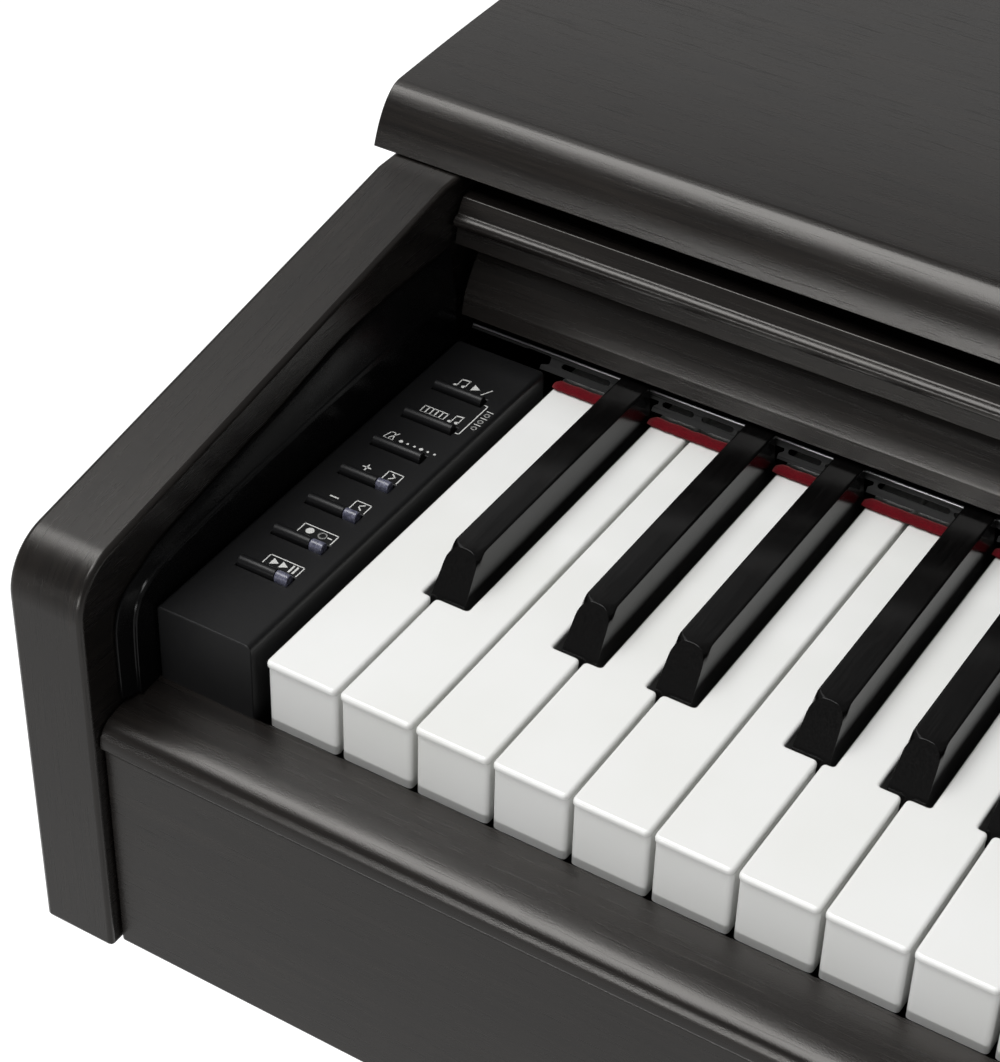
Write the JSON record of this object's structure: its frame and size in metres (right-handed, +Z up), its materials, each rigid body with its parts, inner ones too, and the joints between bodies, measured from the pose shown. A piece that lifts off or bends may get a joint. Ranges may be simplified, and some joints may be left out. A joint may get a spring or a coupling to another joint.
{
  "type": "digital piano on stand",
  "caption": "Full-size digital piano in a dark rosewood cabinet on a two-leg stand, with weighted keys, a sliding key cover, side control panels, a folding music rest and a three-pedal box.",
  "frame": {"origin": "on the floor, under the middle of the instrument's width and depth", "axes": "+X to the player's right along the keys, +Y from the player to the back, +Z up"},
  "size_m": [1.357, 0.422, 0.848],
  "materials": {
    "rosewood": "satin dark rosewood with fine open pores",
    "black_plastic": "fine matte black moulding",
    "white_key": "glossy white key plastic",
    "black_key": "satin black with a faint grain",
    "red_felt": "dark red wool felt",
    "sheet_metal": "dark grey coated sheet",
    "steel": "plated steel",
    "brass": "polished brass plate",
    "circuit_board": "green solder mask",
    "speaker": "black paper cone and coated basket"
  },
  "bodies": {
    "cabinet": {"back_board": "rosewood", "front_board": "rosewood", "headphone_box": "black_plastic", "headphone_hook": "steel", "jack_panel": "black_plastic", "key_bed": "rosewood", "key_felt": "red_felt", "key_frame": "sheet_metal", "key_slip": "rosewood", "left_cheek": "black_plastic", "left_control_panel": "black_plastic", "left_foot": "rosewood", "left_leg": "rosewood", "left_side_panel": "rosewood", "left_speaker": "speaker", "main_circuit_board": "circuit_board", "pedal_box": "rosewood", "rear_panel": "rosewood", "right_cheek": "black_plastic", "right_control_panel": "black_plastic", "right_foot": "rosewood", "right_leg": "rosewood", "right_side_panel": "rosewood", "right_speaker": "speaker", "top_board": "rosewood"},
    "cover": {"key_cover": "rosewood", "key_cover_rail": "rosewood"},
    "power_button": {"power_button": "black_plastic"},
    "volume_slider": {"volume_slider": "black_plastic"},
    "upper_white_keys": {"upper_white_keys": "white_key"},
    "upper_black_keys": {"upper_black_keys": "black_key"},
    "music_rest": {"music_rest": "rosewood"},
    "left_rest_stay": {"left_rest_stay": "steel"},
    "right_rest_stay": {"right_rest_stay": "steel"},
    "soft_pedal": {"soft_pedal": "brass"},
    "sostenuto_pedal": {"sostenuto_pedal": "brass"},
    "damper_pedal": {"damper_pedal": "brass"},
    "pedal_adjuster": {"pedal_adjuster": "black_plastic"},
    "play_button": {"play_button": "black_plastic"},
    "record_button": {"record_button": "black_plastic"},
    "minus_button": {"minus_button": "black_plastic"},
    "plus_button": {"plus_button": "black_plastic"},
    "metronome_button": {"metronome_button": "black_plastic"},
    "voice_button": {"voice_button": "black_plastic"},
    "demo_button": {"demo_button": "black_plastic"},
    "white_key_A0": {"white_key_A0": "white_key"},
    "white_key_B0": {"white_key_B0": "white_key"},
    "white_key_C1": {"white_key_C1": "white_key"},
    "white_key_D1": {"white_key_D1": "white_key"},
    "white_key_E1": {"white_key_E1": "white_key"},
    "white_key_F1": {"white_key_F1": "white_key"},
    "white_key_G1": {"white_key_G1": "white_key"},
    "white_key_A1": {"white_key_A1": "white_key"},
    "white_key_B1": {"white_key_B1": "white_key"},
    "black_key_A_sharp_0": {"black_key_A_sharp_0": "black_key"},
    "black_key_C_sharp_1": {"black_key_C_sharp_1": "black_key"},
    "black_key_D_sharp_1": {"black_key_D_sharp_1": "black_key"},
    "black_key_F_sharp_1": {"black_key_F_sharp_1": "black_key"},
    "black_key_G_sharp_1": {"black_key_G_sharp_1": "black_key"},
    "black_key_A_sharp_1": {"black_key_A_sharp_1": "black_key"}
  },
  "joints": [
    {"name": "cover_slide", "type": "slide", "parent": "cabinet", "child": "cover", "axis": [0, -1, 0], "range_m": [0, 0.158]},
    {"name": "white_key_A0_press", "type": "hinge", "parent": "cabinet", "child": "white_key_A0", "pos_m": [-0.59925, 0.0315, 0.727], "axis": [1, 0, 0], "range_deg": [0, 2.7], "stiffness_Nm_per_rad": 1, "springref_deg": -17.19},
    {"name": "white_key_B0_press", "type": "hinge", "parent": "cabinet", "child": "white_key_B0", "pos_m": [-0.57575, 0.0315, 0.727], "axis": [1, 0, 0], "range_deg": [0, 2.7], "stiffness_Nm_per_rad": 1, "springref_deg": -17.19},
    {"name": "white_key_C1_press", "type": "hinge", "parent": "cabinet", "child": "white_key_C1", "pos_m": [-0.55225, 0.0315, 0.727], "axis": [1, 0, 0], "range_deg": [0, 2.7], "stiffness_Nm_per_rad": 1, "springref_deg": -17.19},
    {"name": "white_key_D1_press", "type": "hinge", "parent": "cabinet", "child": "white_key_D1", "pos_m": [-0.52875, 0.0315, 0.727], "axis": [1, 0, 0], "range_deg": [0, 2.7], "stiffness_Nm_per_rad": 1, "springref_deg": -17.19},
    {"name": "white_key_E1_press", "type": "hinge", "parent": "cabinet", "child": "white_key_E1", "pos_m": [-0.50525, 0.0315, 0.727], "axis": [1, 0, 0], "range_deg": [0, 2.7], "stiffness_Nm_per_rad": 1, "springref_deg": -17.19},
    {"name": "white_key_F1_press", "type": "hinge", "parent": "cabinet", "child": "white_key_F1", "pos_m": [-0.48175, 0.0315, 0.727], "axis": [1, 0, 0], "range_deg": [0, 2.7], "stiffness_Nm_per_rad": 1, "springref_deg": -17.19},
    {"name": "white_key_G1_press", "type": "hinge", "parent": "cabinet", "child": "white_key_G1", "pos_m": [-0.45825, 0.0315, 0.727], "axis": [1, 0, 0], "range_deg": [0, 2.7], "stiffness_Nm_per_rad": 1, "springref_deg": -17.19},
    {"name": "white_key_A1_press", "type": "hinge", "parent": "cabinet", "child": "white_key_A1", "pos_m": [-0.43475, 0.0315, 0.727], "axis": [1, 0, 0], "range_deg": [0, 2.7], "stiffness_Nm_per_rad": 1, "springref_deg": -17.19},
    {"name": "white_key_B1_press", "type": "hinge", "parent": "cabinet", "child": "white_key_B1", "pos_m": [-0.41125, 0.0315, 0.727], "axis": [1, 0, 0], "range_deg": [0, 2.7], "stiffness_Nm_per_rad": 1, "springref_deg": -17.19},
    {"name": "black_key_A_sharp_0_press", "type": "hinge", "parent": "cabinet", "child": "black_key_A_sharp_0", "pos_m": [-0.58395, 0.0395, 0.734], "axis": [1, 0, 0], "range_deg": [0, 3.1], "stiffness_Nm_per_rad": 0.5, "springref_deg": -17.19},
    {"name": "black_key_C_sharp_1_press", "type": "hinge", "parent": "cabinet", "child": "black_key_C_sharp_1", "pos_m": [-0.54245, 0.0395, 0.734], "axis": [1, 0, 0], "range_deg": [0, 3.1], "stiffness_Nm_per_rad": 0.5, "springref_deg": -17.19},
    {"name": "black_key_D_sharp_1_press", "type": "hinge", "parent": "cabinet", "child": "black_key_D_sharp_1", "pos_m": [-0.51395, 0.0395, 0.734], "axis": [1, 0, 0], "range_deg": [0, 3.1], "stiffness_Nm_per_rad": 0.5, "springref_deg": -17.19},
    {"name": "black_key_F_sharp_1_press", "type": "hinge", "parent": "cabinet", "child": "black_key_F_sharp_1", "pos_m": [-0.4736, 0.0395, 0.734], "axis": [1, 0, 0], "range_deg": [0, 3.1], "stiffness_Nm_per_rad": 0.5, "springref_deg": -17.19},
    {"name": "black_key_G_sharp_1_press", "type": "hinge", "parent": "cabinet", "child": "black_key_G_sharp_1", "pos_m": [-0.4466, 0.0395, 0.734], "axis": [1, 0, 0], "range_deg": [0, 3.1], "stiffness_Nm_per_rad": 0.5, "springref_deg": -17.19},
    {"name": "black_key_A_sharp_1_press", "type": "hinge", "parent": "cabinet", "child": "black_key_A_sharp_1", "pos_m": [-0.41945, 0.0395, 0.734], "axis": [1, 0, 0], "range_deg": [0, 3.1], "stiffness_Nm_per_rad": 0.5, "springref_deg": -17.19},
    {"name": "upper_white_keys_press", "type": "hinge", "parent": "cabinet", "child": "upper_white_keys", "pos_m": [0, 0.0315, 0.727], "axis": [1, 0, 0], "range_deg": [0, 2.7], "stiffness_Nm_per_rad": 43, "springref_deg": -17.19},
    {"name": "upper_black_keys_press", "type": "hinge", "parent": "cabinet", "child": "upper_black_keys", "pos_m": [0, 0.0395, 0.734], "axis": [1, 0, 0], "range_deg": [0, 3.1], "stiffness_Nm_per_rad": 15, "springref_deg": -17.19},
    {"name": "play_button_press", "type": "slide", "parent": "cabinet", "child": "play_button", "axis": [0, 0, -1], "range_m": [0, 0.001], "stiffness_N_per_m": 1000, "springref_m": -0.0015},
    {"name": "record_button_press", "type": "slide", "parent": "cabinet", "child": "record_button", "axis": [0, 0, -1], "range_m": [0, 0.001], "stiffness_N_per_m": 1000, "springref_m": -0.0015},
    {"name": "minus_button_press", "type": "slide", "parent": "cabinet", "child": "minus_button", "axis": [0, 0, -1], "range_m": [0, 0.001], "stiffness_N_per_m": 1000, "springref_m": -0.0015},
    {"name": "plus_button_press", "type": "slide", "parent": "cabinet", "child": "plus_button", "axis": [0, 0, -1], "range_m": [0, 0.001], "stiffness_N_per_m": 1000, "springref_m": -0.0015},
    {"name": "metronome_button_press", "type": "slide", "parent": "cabinet", "child": "metronome_button", "axis": [0, 0, -1], "range_m": [0, 0.001], "stiffness_N_per_m": 1000, "springref_m": -0.0015},
    {"name": "voice_button_press", "type": "slide", "parent": "cabinet", "child": "voice_button", "axis": [0, 0, -1], "range_m": [0, 0.001], "stiffness_N_per_m": 1000, "springref_m": -0.0015},
    {"name": "demo_button_press", "type": "slide", "parent": "cabinet", "child": "demo_button", "axis": [0, 0, -1], "range_m": [0, 0.001], "stiffness_N_per_m": 1000, "springref_m": -0.0015},
    {"name": "power_button_press", "type": "slide", "parent": "cabinet", "child": "power_button", "axis": [0, 0, -1], "range_m": [0, 0.0014], "stiffness_N_per_m": 1000, "springref_m": -0.0015},
    {"name": "volume_slide", "type": "slide", "parent": "cabinet", "child": "volume_slider", "axis": [0, 1, 0], "range_m": [-0.018, 0.018]},
    {"name": "music_rest_hinge", "type": "hinge", "parent": "cabinet", "child": "music_rest", "pos_m": [0, 0.014, 0.824], "axis": [1, 0, 0], "range_deg": [0, 70]},
    {"name": "left_rest_stay_hinge", "type": "hinge", "parent": "music_rest", "child": "left_rest_stay", "pos_m": [-0.2, 0.099, 0.82], "axis": [1, 0, 0], "range_deg": [-135, 0]},
    {"name": "right_rest_stay_hinge", "type": "hinge", "parent": "music_rest", "child": "right_rest_stay", "pos_m": [0.2, 0.099, 0.82], "axis": [1, 0, 0], "range_deg": [-135, 0]},
    {"name": "soft_pedal_press", "type": "hinge", "parent": "cabinet", "child": "soft_pedal", "pos_m": [-0.075, 0.142, 0.1035], "axis": [1, 0, 0], "range_deg": [0, 7], "stiffness_Nm_per_rad": 8, "springref_deg": -20.05},
    {"name": "sostenuto_pedal_press", "type": "hinge", "parent": "cabinet", "child": "sostenuto_pedal", "pos_m": [0, 0.142, 0.1035], "axis": [1, 0, 0], "range_deg": [0, 7], "stiffness_Nm_per_rad": 8, "springref_deg": -20.05},
    {"name": "damper_pedal_press", "type": "hinge", "parent": "cabinet", "child": "damper_pedal", "pos_m": [0.075, 0.142, 0.1035], "axis": [1, 0, 0], "range_deg": [0, 7], "stiffness_Nm_per_rad": 8, "springref_deg": -20.05},
    {"name": "pedal_adjuster_turn", "type": "hinge", "parent": "cabinet", "child": "pedal_adjuster", "pos_m": [0, 0.11, 0], "axis": [0, 0, 1], "continuous": true}
  ],
  "couplings": [
    {"joint": "left_rest_stay_hinge", "follows": "music_rest_hinge", "ratio": -1.92},
    {"joint": "right_rest_stay_hinge", "follows": "music_rest_hinge", "ratio": -1.92}
  ]
}
